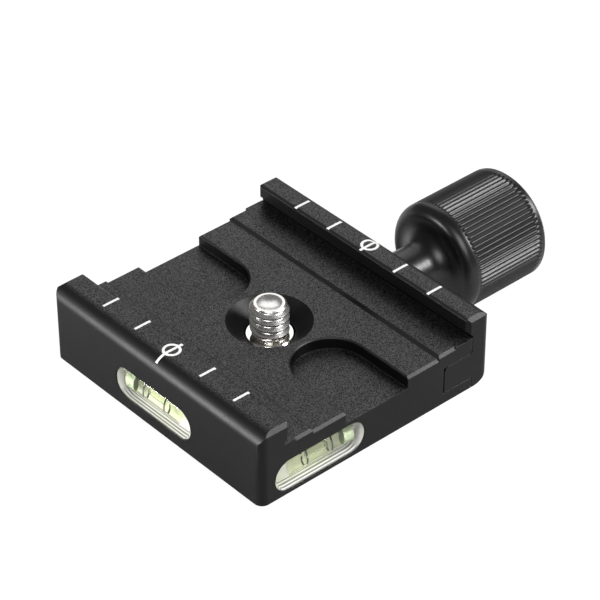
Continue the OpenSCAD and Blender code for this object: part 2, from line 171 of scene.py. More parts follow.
def spread(tree, value, low, high, to_low=0.0, to_high=1.0):
    """Maps the range low..high of a value to another range, clamped."""
    made = node(
        tree,
        "ShaderNodeMapRange",
        {"Value": value, "From Min": low, "From Max": high, "To Min": to_low, "To Max": to_high},
    )
    return made.outputs["Result"]


def maths(tree, operation, *values):
    """One arithmetic step on links or numbers."""
    given = dict(enumerate(values))
    return node(tree, "ShaderNodeMath", given, operation=operation).outputs[0]


# Materials


def blasted_aluminium():
    """Black anodised aluminium. The faces that look up have a bead blasting finish: their tiny
    dents are painted lighter in the colour, partly as grain and partly as painted glints where the
    lamps catch them. The edges are painted lighter, partly as wear and partly as painted highlight.
    The upright faces are finely milled, duller and even."""
    made, tree, surface = blank("blasted_anodised_aluminium", {"IOR": 1.5})
    spot = node(tree, "ShaderNodeTexCoord").outputs
    place = spot["Object"]
    rise = node(tree, "ShaderNodeSeparateXYZ", {0: spot["Normal"]}).outputs["Z"]
    flat = node(tree, "ShaderNodeVectorMath", {0: place, 1: (1.0, 1.0, 0.0)}, operation="MULTIPLY")
    reach = node(
        tree, "ShaderNodeVectorMath", {0: flat.outputs[0]}, operation="LENGTH"
    ).outputs["Value"]
    turned = spread(tree, reach, CSK_R * MM, (CSK_R - 0.1) * MM)
    flatness = spread(tree, rise, 0.92, 0.99)
    blasted_and_glint_tops = maths(tree, "MULTIPLY", flatness, maths(tree, "SUBTRACT", 1.0, turned))
    rounds = maths(tree, "SUBTRACT", spread(tree, rise, 0.15, 0.5), blasted_and_glint_tops)
    # Bead dents are about 0.1 mm across, drawn at 0.165 mm so that they show
    dents = node(
        tree,
        "ShaderNodeTexNoise",
        {"Vector": place, "Scale": per_mm(0.165), "Detail": 1.0, "Roughness": 0.6},
    ).outputs["Fac"]
    cloud = node(
        tree, "ShaderNodeTexNoise", {"Vector": place, "Scale": per_mm(9.0), "Detail": 2.0}
    ).outputs["Fac"]
    # Painted glints: the dents on the faces that look up are painted lighter, partly as grain and
    # partly as painted glints where the lamps catch them
    grain = maths(tree, "MULTIPLY", spread(tree, dents, 0.42, 0.62), blasted_and_glint_tops)
    skin = mixed(tree, grain, "#060607", "#1e1e20")
    rounded = node(tree, "ShaderNodeBevel", {"Radius": 0.16 * MM}, samples=4).outputs["Normal"]
    facing = node(tree, "ShaderNodeNewGeometry").outputs["Normal"]
    likeness = node(
        tree, "ShaderNodeVectorMath", {0: rounded, 1: facing}, operation="DOT_PRODUCT"
    ).outputs["Value"]
    # Painted highlight and wear: the edges are painted lighter, partly as rubbed wear and partly as
    # painted highlight
    edge = spread(tree, likeness, 0.995, 0.86)
    tree.links.new(mixed(tree, edge, skin, "#2c2c2e"), surface.inputs["Base Color"])
    gloss = maths(
        tree,
        "ADD",
        spread(tree, grain, 0.0, 1.0, 0.14, 0.85),
        maths(tree, "MULTIPLY", rounds, 0.2),
    )
    tree.links.new(gloss, surface.inputs["Specular IOR Level"])
    dull = maths(
        tree,
        "ADD",
        spread(tree, dents, 0.3, 0.7, 0.4, 0.5),
        spread(tree, cloud, 0.3, 0.7, -0.02, 0.02),
    )
    rough = maths(tree, "ADD", dull, maths(tree, "MULTIPLY", rounds, 0.02))
    tree.links.new(rough, surface.inputs["Roughness"])
    bump = node(
        tree,
        "ShaderNodeBump",
        {
            "Strength": spread(tree, blasted_and_glint_tops, 0.0, 1.0, 0.1, 0.9),
            "Distance": 0.03 * MM,
            "Height": dents,
            "Normal": rounded,
        },
    )
    tree.links.new(bump.outputs["Normal"], surface.inputs["Normal"])
    return made


def turned_anodised():
    """Black anodised aluminium, left as turned: glossier than the body, with the fine
    rings that the lathe tool leaves round the axis."""
    made, tree, surface = blank(
        "turned_anodised_aluminium", {"IOR": 1.5, "Specular IOR Level": 0.45}
    )
    place = node(tree, "ShaderNodeTexCoord").outputs["Object"]
    axis = node(
        tree, "ShaderNodeVectorMath", {0: place, 1: (0.0, 0.0, -KNOB_Z * MM)}, operation="ADD"
    ).outputs[0]
    parts = node(tree, "ShaderNodeSeparateXYZ", {0: axis})
    flat = node(
        tree, "ShaderNodeCombineXYZ", {"X": 0.0, "Y": parts.outputs["Y"], "Z": parts.outputs["Z"]}
    ).outputs[0]
    radius = node(tree, "ShaderNodeVectorMath", {0: flat}, operation="LENGTH").outputs["Value"]
    ring = node(
        tree, "ShaderNodeCombineXYZ", {"X": parts.outputs["X"], "Y": radius, "Z": 0.0}
    ).outputs[0]
    # Feed marks of 0.08 mm, drawn at 0.15 mm so that they show
    feed = node(
        tree, "ShaderNodeTexNoise", {"Vector": ring, "Scale": per_mm(0.15), "Detail": 2.0}
    ).outputs["Fac"]
    dust = node(
        tree, "ShaderNodeTexNoise", {"Vector": place, "Scale": per_mm(0.5), "Detail": 4.0}
    ).outputs["Fac"]
    tree.links.new(
        mixed(tree, spread(tree, dust, 0.35, 0.75), "#08080a", "#141416"),
        surface.inputs["Base Color"],
    )
    tree.links.new(spread(tree, feed, 0.3, 0.7, 0.3, 0.38), surface.inputs["Roughness"])
    bump = node(
        tree, "ShaderNodeBump", {"Strength": 0.12, "Distance": 0.01 * MM, "Height": feed}
    )
    tree.links.new(bump.outputs["Normal"], surface.inputs["Normal"])
    return made


def filled_paint():
    """White enamel wiped into the milled lines: nearly matt, slightly uneven."""
    made, tree, surface = blank("white_filling_paint", {"IOR": 1.5})
    place = node(tree, "ShaderNodeTexCoord").outputs["Object"]
    patch = node(
        tree, "ShaderNodeTexNoise", {"Vector": place, "Scale": per_mm(0.3), "Detail": 3.0}
    ).outputs["Fac"]
    tree.links.new(
        mixed(tree, spread(tree, patch, 0.3, 0.7), "#d2d2d0", "#f2f2f0"),
        surface.inputs["Base Color"],
    )
    tree.links.new(spread(tree, patch, 0.3, 0.7, 0.5, 0.7), surface.inputs["Roughness"])
    bump = node(
        tree, "ShaderNodeBump", {"Strength": 0.3, "Distance": 0.02 * MM, "Height": patch}
    )
    tree.links.new(bump.outputs["Normal"], surface.inputs["Normal"])
    return made


def metal(name, low, high, smooth, rough, grain, stretch, depth):
    """Bare metal with fine lines: colours, roughness range, line width in millimetres,
    how far the lines stretch along each axis, and the depth of the lines."""
    made, tree, surface = blank(name, {"Metallic": 1.0})
    place = node(tree, "ShaderNodeTexCoord").outputs["Object"]
    along = node(tree, "ShaderNodeMapping", {"Vector": place, "Scale": stretch}).outputs[0]
    lines = node(
        tree, "ShaderNodeTexNoise", {"Vector": along, "Scale": per_mm(grain), "Detail": 3.0}
    ).outputs["Fac"]
    tree.links.new(mixed(tree, lines, low, high), surface.inputs["Base Color"])
    tree.links.new(spread(tree, lines, 0.3, 0.7, smooth, rough), surface.inputs["Roughness"])
    bump = node(
        tree, "ShaderNodeBump", {"Strength": 0.25, "Distance": depth * MM, "Height": lines}
    )
    tree.links.new(bump.outputs["Normal"], surface.inputs["Normal"])
    return made


def natural_nylon():
    """Unfilled nylon washer: milky off-white, slightly waxy, with a moulded grain."""
    made, tree, surface = blank("natural_nylon", {"IOR": 1.53, "Subsurface Weight": 0.15})
    surface.inputs["Subsurface Radius"].default_value = (0.4, 0.35, 0.25)
    surface.inputs["Subsurface Scale"].default_value = 1.0 * MM
    place = node(tree, "ShaderNodeTexCoord").outputs["Object"]
    grain = node(
        tree, "ShaderNodeTexNoise", {"Vector": place, "Scale": per_mm(0.25), "Detail": 3.0}
    ).outputs["Fac"]
    tree.links.new(mixed(tree, grain, "#d8d4c6", "#efece2"), surface.inputs["Base Color"])
    tree.links.new(spread(tree, grain, 0.3, 0.7, 0.38, 0.5), surface.inputs["Roughness"])
    bump = node(
        tree, "ShaderNodeBump", {"Strength": 0.2, "Distance": 0.02 * MM, "Height": grain}
    )
    tree.links.new(bump.outputs["Normal"], surface.inputs["Normal"])
    return made


def see_through(name, tint, ior, rough, wave):
    """Clear plastic or liquid: refracts what is behind it and lets lamp light pass.
    Its faint waves come from moulding."""
    made, tree, surface = blank(
        name, {"Base Color": srgb(tint), "IOR": ior, "Transmission Weight": 1.0}
    )
    place = node(tree, "ShaderNodeTexCoord").outputs["Object"]
    ripple = node(
        tree, "ShaderNodeTexNoise", {"Vector": place, "Scale": per_mm(wave), "Detail": 2.0}
    ).outputs["Fac"]
    tree.links.new(
        spread(tree, ripple, 0.3, 0.7, rough * 0.6, rough * 1.4), surface.inputs["Roughness"]
    )
    bump = node(
        tree, "ShaderNodeBump", {"Strength": 0.15, "Distance": 0.02 * MM, "Height": ripple}
    )
    tree.links.new(bump.outputs["Normal"], surface.inputs["Normal"])
    shadow = node(tree, "ShaderNodeLightPath").outputs["Is Shadow Ray"]
    clear = node(tree, "ShaderNodeBsdfTransparent", {"Color": srgb(tint)}).outputs[0]
    out = tree.nodes["Material Output"]
    both = node(tree, "ShaderNodeMixShader", {0: shadow, 1: surface.outputs[0], 2: clear})
    tree.links.new(both.outputs[0], out.inputs["Surface"])
    return made


def pocket_white(name, axis):
    """White lining behind a level. Its lower wall is painted darker grey as painted shade, with
    bright painted reflection stripes along the vial;
    axis is the one that points into the body."""
    made, tree, surface = blank(name, {"IOR": 1.46})
    spot = node(tree, "ShaderNodeTexCoord").outputs
    down = node(tree, "ShaderNodeSeparateXYZ", {0: spot["Normal"]}).outputs["Z"]
    lower = spread(tree, down, 0.7, 0.9)
    across = node(tree, "ShaderNodeSeparateXYZ", {0: spot["Object"]}).outputs[axis]
    # Painted reflection stripes along the vial, 1.4 mm apart
    wave = maths(tree, "SINE", maths(tree, "MULTIPLY", across, 2 * math.pi / (1.4 * MM)))
    reflection_stripes = maths(tree, "MULTIPLY", spread(tree, wave, -0.3, 0.3), lower)
    patch = node(
        tree, "ShaderNodeTexNoise", {"Vector": spot["Object"], "Scale": per_mm(2.0), "Detail": 2.0}
    ).outputs["Fac"]
    plain = mixed(tree, spread(tree, patch, 0.3, 0.7), "#c8c7c2", "#dcdbd7")
    # Painted shade: the lower wall is painted darker grey, and the painted reflection stripes go on
    # it
    wall = mixed(tree, lower, plain, "#6a6a67")
    tree.links.new(mixed(tree, reflection_stripes, wall, "#e4e4e3"), surface.inputs["Base Color"])
    tree.links.new(spread(tree, patch, 0.3, 0.7, 0.45, 0.6), surface.inputs["Roughness"])
    bump = node(
        tree, "ShaderNodeBump", {"Strength": 0.2, "Distance": 0.02 * MM, "Height": patch}
    )
    tree.links.new(bump.outputs["Normal"], surface.inputs["Normal"])
    return made


def plain_plastic(name, low, high, smooth, rough, grain):
    """Opaque plastic, paint or ink with a fine uneven surface."""
    made, tree, surface = blank(name, {"IOR": 1.49})
    place = node(tree, "ShaderNodeTexCoord").outputs["Object"]
    patch = node(
        tree, "ShaderNodeTexNoise", {"Vector": place, "Scale": per_mm(grain), "Detail": 3.0}
    ).outputs["Fac"]
    tree.links.new(
        mixed(tree, spread(tree, patch, 0.3, 0.7), low, high), surface.inputs["Base Color"]
    )
    tree.links.new(spread(tree, patch, 0.3, 0.7, smooth, rough), surface.inputs["Roughness"])
    bump = node(
        tree, "ShaderNodeBump", {"Strength": 0.2, "Distance": 0.01 * MM, "Height": patch}
    )
    tree.links.new(bump.outputs["Normal"], surface.inputs["Normal"])
    return made


body_skin = blasted_aluminium()
knob_skin = turned_anodised()
paint = filled_paint()
# Ground dowel steel, hard drawn spring wire and polished stainless steel
dowel = metal("ground_dowel_steel", "#b9b9b8", "#dcdcda", 0.16, 0.28, 0.12, (1.0, 0.2, 0.2), 0.01)
wire = metal("hard_drawn_wire", "#8f8b84", "#bdb9b2", 0.25, 0.4, 0.1, (1.0, 1.0, 1.0), 0.01)
polished = metal(
    "polished_stainless", "#c2c0bc", "#f0eeeb", 0.2, 0.36, 0.25, (1.0, 1.0, 5.0), 0.004
)
ring_steel = metal("nickelled_ring", "#dedbd5", "#f6f4f0", 0.07, 0.14, 0.3, (1.0, 1.0, 1.0), 0.006)
screw_steel = metal(
    "zinc_screw_steel", "#a9a9a8", "#cfcfce", 0.24, 0.36, 0.2, (4.0, 1.0, 1.0), 0.01
)
nylon = natural_nylon()
acrylic = see_through("clear_acrylic", "#ffffff", 1.49, 0.03, 3.0)
# The liquid's index is that of alcohol against the acrylic that it touches
spirit = see_through("level_spirit", "#f0f5dc", 0.95, 0.02, 3.0)
bubble_skin = see_through("bubble_skin", "#f7faf2", 1.1, 0.02, 2.0)
ink = plain_plastic("black_ring_ink", "#0b0c0b", "#1c1d1b", 0.3, 0.45, 0.2)
side_lining = pocket_white("side_level_lining", "X")
end_lining = pocket_white("end_level_lining", "Y")
plug_plastic = plain_plastic("level_plug_plastic", "#8b9a78", "#a9b592", 0.35, 0.5, 0.5)


# Mesh tools


def new_object(name, points, faces, materials):
    """Object at the origin from points in metres."""
    mesh = bpy.data.meshes.new(name)
    mesh.from_pydata(points, [], faces)
    mesh.validate()
    made = bpy.data.objects.new(name, mesh)
    bpy.context.scene.collection.objects.link(made)
    for material in materials:
        mesh.materials.append(material)
    return made


def smooth(piece, degrees=32.0):
    """Smooth shading with sharp edges above this angle."""
    mesh = piece.data
    mesh.polygons.foreach_set("use_smooth", [True] * len(mesh.polygons))
    mesh.set_sharp_from_angle(angle=math.radians(degrees))
    return piece


def lathe(name, profile, segments, place, materials):
    """Closed ring of a profile turned round an axis: profile holds (along, radius) in
    millimetres, going round the section so that the faces point outwards."""
    points = []
    for along, radius in profile:
        for k in range(segments):
            turn = 2 * math.pi * k / segments
            points.append(place(along, radius * math.cos(turn), radius * math.sin(turn)))
    faces = []
    count = len(profile)
    for i in range(count):
        j = (i + 1) % count
        for k in range(segments):
            n = (k + 1) % segments
            faces.append(
                (i * segments + k, j * segments + k, j * segments + n, i * segments + n)
            )
    return new_object(name, points, faces, materials)


def arc(centre, radius, start, end, steps):
    """Points of an arc in the profile plane, angles in degrees."""
    return [
        (
            centre[0] + radius * math.cos(math.radians(start + (end - start) * i / steps)),
            centre[1] + radius * math.sin(math.radians(start + (end - start) * i / steps)),
        )
        for i in range(steps + 1)
    ]


def line(start, end, steps):
    """Points between two places, without the last."""
    return [
        (
            start[0] + (end[0] - start[0]) * i / steps,
            start[1] + (end[1] - start[1]) * i / steps,
        )
        for i in range(steps)
    ]


def along_x(x0, y, z):
    """Place of a turned piece whose axis runs along X."""
    return lambda a, b, c: ((x0 + a) * MM, (y + b) * MM, (z + c) * MM)


def along_z(z0):
    """Place of a turned piece on the axis of the tripod screw."""
    return lambda a, b, c: (b * MM, c * MM, (z0 + a) * MM)


def outward(piece):
    """Merges doubles and turns all faces outwards."""
    work = bmesh.new()
    work.from_mesh(piece.data)
    bmesh.ops.remove_doubles(work, verts=work.verts, dist=1e-7)
    bmesh.ops.dissolve_degenerate(work, edges=work.edges, dist=1e-7)
    bmesh.ops.recalc_face_normals(work, faces=work.faces)
    work.to_mesh(piece.data)
    work.free()
    return piece


def baked(piece):
    """Keeps what a piece's modifiers make as its plain mesh."""
    bpy.context.view_layer.update()
    graph = bpy.context.evaluated_depsgraph_get()
    mesh = bpy.data.meshes.new_from_object(piece.evaluated_get(graph))
    piece.modifiers.clear()
    piece.data = mesh
    return piece


def new_tree(name, inputs):
    """Geometry node tree with these named inputs."""
    tree = bpy.data.node_groups.new(name, "GeometryNodeTree")
    tree.interface.new_socket("Geometry", in_out="INPUT", socket_type="NodeSocketGeometry")
    for label, kind in inputs:
        tree.interface.new_socket(label, in_out="INPUT", socket_type=kind)
    tree.interface.new_socket("Geometry", in_out="OUTPUT", socket_type="NodeSocketGeometry")
    return tree


def close_tree(tree, geometry, material):
    """Ends a tree with real geometry that has its material."""
    real = node(tree, "GeometryNodeRealizeInstances", {0: geometry}).outputs[0]
    dressed = node(tree, "GeometryNodeSetMaterial", {"Geometry": real, "Material": material})
    node(tree, "NodeGroupOutput", {0: dressed.outputs[0]})


def grown(piece, tree, values):
    """Runs a tree on a piece and keeps the result as a plain mesh."""
    modifier = piece.modifiers.new("grow", "NODES")
    modifier.node_group = tree
    for item in tree.interface.items_tree:
        if item.in_out == "INPUT" and item.name in values:
            modifier[item.identifier] = values[item.name]
    return baked(piece)


FLOAT, WHOLE, MATERIAL = "NodeSocketFloat", "NodeSocketInt", "NodeSocketMaterial"


def thread_tree():
    """A threaded rod along Z from 0 to Length, with a chamfer at both ends. Its rows of
    points follow the helix, so that crest and root are exact at every turn."""
    tree = new_tree(
        "screw_thread",
        (
            ("Length", FLOAT),
            ("Pitch", FLOAT),
            ("Crest radius", FLOAT),
            ("Depth", FLOAT),
            ("Dimple", FLOAT),
            ("Columns", WHOLE),
            ("Rows", WHOLE),
            ("Reach", FLOAT),
            ("Material", MATERIAL),
        ),
    )
    given = node(tree, "NodeGroupInput").outputs
    length, pitch, crest = given["Length"], given["Pitch"], given["Crest radius"]
    core = maths(tree, "SUBTRACT", crest, given["Depth"])
    end_radius = maths(tree, "SUBTRACT", core, 0.01 * MM)
    grid = node(
        tree,
        "GeometryNodeMeshGrid",
        {
            "Size X": 1.0,
            "Size Y": 1.0,
            "Vertices X": given["Columns"],
            "Vertices Y": given["Rows"],
        },
    ).outputs["Mesh"]
    position = node(tree, "GeometryNodeInputPosition").outputs[0]
    spot = node(tree, "ShaderNodeSeparateXYZ", {0: position})
    share = maths(tree, "ADD", spot.outputs["X"], 0.5)
    phase = maths(tree, "MULTIPLY", maths(tree, "ADD", spot.outputs["Y"], 0.5), given["Reach"])
    raw = maths(tree, "SUBTRACT", phase, maths(tree, "MULTIPLY", pitch, share))
    height = maths(tree, "MINIMUM", maths(tree, "MAXIMUM", raw, 0.0), length)
    turns = maths(tree, "FRACT", maths(tree, "DIVIDE", phase, pitch))
    off = maths(tree, "MULTIPLY", maths(tree, "ABSOLUTE", maths(tree, "SUBTRACT", turns, 0.5)), 2.0)
    flank = node(
        tree,
        "ShaderNodeMapRange",
        {"Value": off, "From Min": 0.13, "From Max": 0.8, "To Min": 0.0, "To Max": 1.0},
    ).outputs["Result"]
    wall = maths(tree, "SUBTRACT", crest, maths(tree, "MULTIPLY", flank, given["Depth"]))
    foot = maths(tree, "ADD", end_radius, height)
    tip = maths(tree, "ADD", end_radius, maths(tree, "SUBTRACT", length, height))
    radius = maths(tree, "MINIMUM", maths(tree, "MINIMUM", foot, tip), wall)
    turn = maths(tree, "MULTIPLY", share, 2 * math.pi)
    helix = node(
        tree,
        "ShaderNodeCombineXYZ",
        {
            "X": maths(tree, "MULTIPLY", radius, maths(tree, "COSINE", turn)),
            "Y": maths(tree, "MULTIPLY", radius, maths(tree, "SINE", turn)),
            "Z": height,
        },
    ).outputs[0]
    skin = node(tree, "GeometryNodeSetPosition", {"Geometry": grid, "Position": helix}).outputs[0]
    ends = []
    for top in (False, True):
        disc = node(
            tree,
            "GeometryNodeMeshGrid",
            {"Size X": 1.0, "Size Y": 1.0, "Vertices X": given["Columns"], "Vertices Y": 26},
        ).outputs["Mesh"]
        reach = maths(tree, "ADD", spot.outputs["Y"], 0.5)
        ring = maths(tree, "MULTIPLY", reach, end_radius)
        inner = maths(tree, "MULTIPLY", reach, 1 / 0.84)
        bowl = maths(tree, "SUBTRACT", 1.0, maths(tree, "MULTIPLY", inner, inner))
        sunk = maths(tree, "MULTIPLY", maths(tree, "MAXIMUM", bowl, 0.0), given["Dimple"])
        level = maths(tree, "SUBTRACT", length, sunk) if top else 0.0
        polar = node(
            tree,
            "ShaderNodeCombineXYZ",
            {
                "X": maths(tree, "MULTIPLY", ring, maths(tree, "COSINE", turn)),
                "Y": maths(tree, "MULTIPLY", ring, maths(tree, "SINE", turn)),
                "Z": level,
            },
        ).outputs[0]
        ends.append(
            node(tree, "GeometryNodeSetPosition", {"Geometry": disc, "Position": polar}).outputs[0]
        )
    join = tree.nodes.new("GeometryNodeJoinGeometry")
    for part in [skin] + ends:
        tree.links.new(part, join.inputs[0])
    welded = node(
        tree, "GeometryNodeMergeByDistance", {"Geometry": join.outputs[0], "Distance": 0.002 * MM}
    ).outputs[0]
    close_tree(tree, welded, given["Material"])
    return tree


def knurl_tree():
    """Presses straight flutes into the outside of a turned piece along X."""
    tree = new_tree(
        "straight_knurl",
        (
            ("Flutes", WHOLE),
            ("Depth", FLOAT),
            ("Start", FLOAT),
            ("End", FLOAT),
            ("Run", FLOAT),
            ("Least radius", FLOAT),
            ("Material", MATERIAL),
        ),
    )
    given = node(tree, "NodeGroupInput").outputs
    position = node(tree, "GeometryNodeInputPosition").outputs[0]
    spot = node(tree, "ShaderNodeSeparateXYZ", {0: position})
    x, y, z = spot.outputs["X"], spot.outputs["Y"], spot.outputs["Z"]
    flat = node(tree, "ShaderNodeCombineXYZ", {"X": 0.0, "Y": y, "Z": z}).outputs[0]
    radius = node(tree, "ShaderNodeVectorMath", {0: flat}, operation="LENGTH").outputs["Value"]
    turn = maths(tree, "ARCTAN2", z, y)
    wave = maths(tree, "COSINE", maths(tree, "MULTIPLY", turn, given["Flutes"]))
    ridge = maths(tree, "POWER", maths(tree, "MULTIPLY", maths(tree, "ADD", wave, 1.0), 0.5), 1.5)
    hollow = maths(tree, "SUBTRACT", 1.0, ridge)
    near = node(
        tree,
        "ShaderNodeMapRange",
        {
            "Value": x,
            "From Min": given["Start"],
            "From Max": maths(tree, "ADD", given["Start"], given["Run"]),
        },
        interpolation_type="SMOOTHSTEP",
    ).outputs["Result"]
    far = node(
        tree,
        "ShaderNodeMapRange",
        {
            "Value": x,
            "From Min": given["End"],
            "From Max": maths(tree, "SUBTRACT", given["End"], given["Run"]),
        },
        interpolation_type="SMOOTHSTEP",
    ).outputs["Result"]
    outside = maths(tree, "GREATER_THAN", radius, given["Least radius"])
    share = maths(tree, "MULTIPLY", maths(tree, "MULTIPLY", near, far), outside)
    depth = maths(tree, "MULTIPLY", maths(tree, "MULTIPLY", share, hollow), given["Depth"])
    scale = maths(tree, "DIVIDE", maths(tree, "SUBTRACT", radius, depth), radius)
    moved = node(
        tree,
        "ShaderNodeCombineXYZ",
        {
            "X": x,
            "Y": maths(tree, "MULTIPLY", y, scale),
            "Z": maths(tree, "MULTIPLY", z, scale),
        },
    ).outputs[0]
    pressed = node(
        tree, "GeometryNodeSetPosition", {"Geometry": given["Geometry"], "Position": moved}
    ).outputs[0]
    close_tree(tree, pressed, given["Material"])
    return tree


def coil_tree():
    """A compression spring along Z, its end turns closer than the rest."""
    tree = new_tree(
        "coil_spring",
        (
            ("Turns", FLOAT),
            ("Radius", FLOAT),
            ("Length", FLOAT),
            ("Wire radius", FLOAT),
            ("Material", MATERIAL),
        ),
    )
    given = node(tree, "NodeGroupInput").outputs
    path = node(
        tree,
        "GeometryNodeCurveSpiral",
        {
            "Resolution": 28,
            "Rotations": given["Turns"],
            "Start Radius": given["Radius"],
            "End Radius": given["Radius"],
            "Height": given["Length"],
        },
    ).outputs[0]
    position = node(tree, "GeometryNodeInputPosition").outputs[0]
    spot = node(tree, "ShaderNodeSeparateXYZ", {0: position})
    share = maths(tree, "DIVIDE", spot.outputs["Z"], given["Length"])
    sway = maths(tree, "SINE", maths(tree, "MULTIPLY", share, 2 * math.pi))
    closer = maths(tree, "SUBTRACT", share, maths(tree, "MULTIPLY", sway, 0.075))
    moved = node(
        tree,
        "ShaderNodeCombineXYZ",
        {
            "X": spot.outputs["X"],
            "Y": spot.outputs["Y"],
            "Z": maths(tree, "MULTIPLY", closer, given["Length"]),
        },
    ).outputs[0]
    bent = node(tree, "GeometryNodeSetPosition", {"Geometry": path, "Position": moved}).outputs[0]
    section = node(
        tree, "GeometryNodeCurvePrimitiveCircle", {"Resolution": 12, "Radius": given["Wire radius"]}
    ).outputs[0]
    tube = node(
        tree,
        "GeometryNodeCurveToMesh",
        {"Curve": bent, "Profile Curve": section, "Fill Caps": True},
    ).outputs[0]
    close_tree(tree, tube, given["Material"])
    return tree


# Pieces


def dress(material, *names):
    """Gives CAD nodes a finished material."""
    for name in names:
        for slot in nodes[name].material_slots:
            slot.material = material


def rounding_bar(name, centre, radius, outward_x, turn, length):
    """Bar that cuts a square edge to a radius. It is drawn in the plane across the edge
    and put in place by turn, which takes (across, up, along) in millimetres to metres."""
    far = radius + CUTTER_ROOM
    outline = arc((0.0, 0.0), radius, 90, 0, 24) + [(far, 0.0), (far, far), (0.0, far)]
    points = []
    for along in (-length / 2, length / 2):
        for u, v in outline:
            points.append(turn(centre[0] + outward_x * u, centre[1] + v, along))
    count = len(outline)
    faces = [tuple(range(count)), tuple(range(2 * count - 1, count - 1, -1))]
    for k in range(count):
        n = (k + 1) % count
        faces.append((k, k + count, n + count, n))
    return outward(new_object(name, points, faces, []))


def cut_with(piece, cutters):
    """Cuts the cutters off a closed piece and removes them."""
    for cutter in cutters:
        step = piece.modifiers.new("cut", "BOOLEAN")
        step.object = cutter
        step.operation = "DIFFERENCE"
        step.solver = "EXACT"
    baked(piece)
    for cutter in cutters:
        bpy.data.objects.remove(cutter)
    return piece


def evened(piece):
    """Smooth shading in which large flat faces keep their own normals."""
    smooth(piece, 30.0)
    step = piece.modifiers.new("even", "WEIGHTED_NORMAL")
    step.mode = "FACE_AREA"
    step.weight = 50
    step.keep_sharp = True
    return baked(piece)


def rounded_body(name, source, out, top_r, corner_r, body):
    """Finished body: the solid with its outer edges rounded as in the photograph."""
    side = 1 if out > 0 else -1
    mesh = nodes[source].data.copy()
    mesh.transform(nodes[source].matrix_world)
    old = mesh.attributes.get("custom_normal")
    if old:
        mesh.attributes.remove(old)
    piece = bpy.data.objects.new(name, mesh)
    bpy.context.scene.collection.objects.link(piece)
    outward(piece)
    cutters = [
        rounding_bar(
            name + "_top_cutter",
            (out - side * top_r, BODY_H - top_r),
            top_r,
            side,
            lambda u, v, w: (u * MM, w * MM, v * MM),
            2 * (HALF_L + CUTTER_ROOM),
        )
    ]
    for end in (-1, 1):
        cutters.append(
            rounding_bar(
                name + "_corner_cutter",
                (out - side * corner_r, HALF_L - corner_r),
                corner_r,
                side,
                lambda u, v, w, end=end: (u * MM, end * v * MM, w * MM),
                4 * BODY_H,
            )
        )
    cut_with(piece, cutters)
    piece.data.materials.clear()
    piece.data.materials.append(body_skin)
    evened(piece)
    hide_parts(source)
    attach(piece, body)


def jaw_lines(name, source, nose, out, top_r, body):
    """Painted index marks that follow the jaw's top over its rounded edge."""
    side = 1 if out > 0 else -1
    flat_end = abs(out) - top_r

    def height(x):
        past = max(abs(x) - flat_end, 0.0)
        return BODY_H - top_r + math.sqrt(top_r**2 - past**2)

    strips = []
    inner = abs(nose) + LINE_INSET
    for step in (-2, -1, 1, 2):
        y = step * MARK_PITCH
        xs = [inner + (abs(nose) + MARK_L - inner) * i / 8 for i in range(9)]
        strips.append(([((x, y - MARK_W / 2), (x, y + MARK_W / 2)) for x in xs], False))
    xs = [inner + (abs(out) - CENTRE_MARGIN - inner) * i / 20 for i in range(21)]
    strips.append(([((x, -MARK_W / 2), (x, MARK_W / 2)) for x in xs], False))
    centre = abs(nose) + MARK_L / 2 + MARK_RING_SHIFT
    loop = []
    for k in range(64):
        turn = 2 * math.pi * k / 64
        ends = []
        for radius in (MARK_RING_R - MARK_W / 2, MARK_RING_R + MARK_W / 2):
            ends.append((centre + radius * math.cos(turn), radius * math.sin(turn)))
        loop.append(tuple(ends))
    strips.append((loop, True))
    points, faces = [], []
    for rows, closed in strips:
        base = len(points)
        proud = RING_PROUD if closed else LINE_PROUD
        for low, high in rows:
            for x, y in (low, high):
                for rise in (proud, -LINE_DEPTH):
                    points.append((side * x * MM, y * MM, (height(x) + rise) * MM))
        count = len(rows)
        for k in range(count if closed else count - 1):
            a, b = base + 4 * k, base + 4 * ((k + 1) % count)
            for p, q in ((0, 2), (3, 1), (1, 0), (2, 3)):
                faces.append((a + p, a + q, b + q, b + p))
        if not closed:
            last = base + 4 * (count - 1)
            faces.append((base, base + 1, base + 3, base + 2))
            faces.append((last, last + 2, last + 3, last + 1))
    lines = new_object(name, points, faces, [paint])
    outward(lines)
    smooth(lines, 30.0)
    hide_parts(source)
    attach(lines, body)


def ring_arcs(name, place, plug_side):
    """Ring lines of a vial, where they show: a long arc in front and a short one behind."""
    radius = VIAL_R + 0.03
    points, faces = [], []
    for side in (-1, 1):
        for start, end in RING_ARCS:
            base = len(points)
            steps = 20
            for i in range(steps + 1):
                turn = math.radians(start + (end - start) * i / steps)
                for r in (radius - RING_HALF_THICK, radius + RING_HALF_THICK):
                    for half in (-RING_W / 2, RING_W / 2):
                        points.append(
                            place(
                                side * RING_PITCH / 2 + half + plug_side * RING_SHIFT,
                                r * math.sin(turn),
                                LEVEL_DEPTH / 2 + r * math.cos(turn),
                            )
                        )
            for i in range(steps):
                a, b = base + 4 * i, base + 4 * (i + 1)
                for p, q in ((0, 1), (1, 3), (3, 2), (2, 0)):
                    faces.append((a + p, a + q, b + q, b + p))
            last = base + 4 * steps
            faces.append((base, base + 2, base + 3, base + 1))
            faces.append((last, last + 1, last + 3, last + 2))
    arcs = new_object(name + "_ring_arcs", points, faces, [ink])
    outward(arcs)
    smooth(arcs, 40.0)
    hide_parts(name + "_rings")
    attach(arcs, "base")


def seed_object(name):
    """Object that a tree fills."""
    return new_object(name, [(0.0, 0.0, 0.0)], [], [])


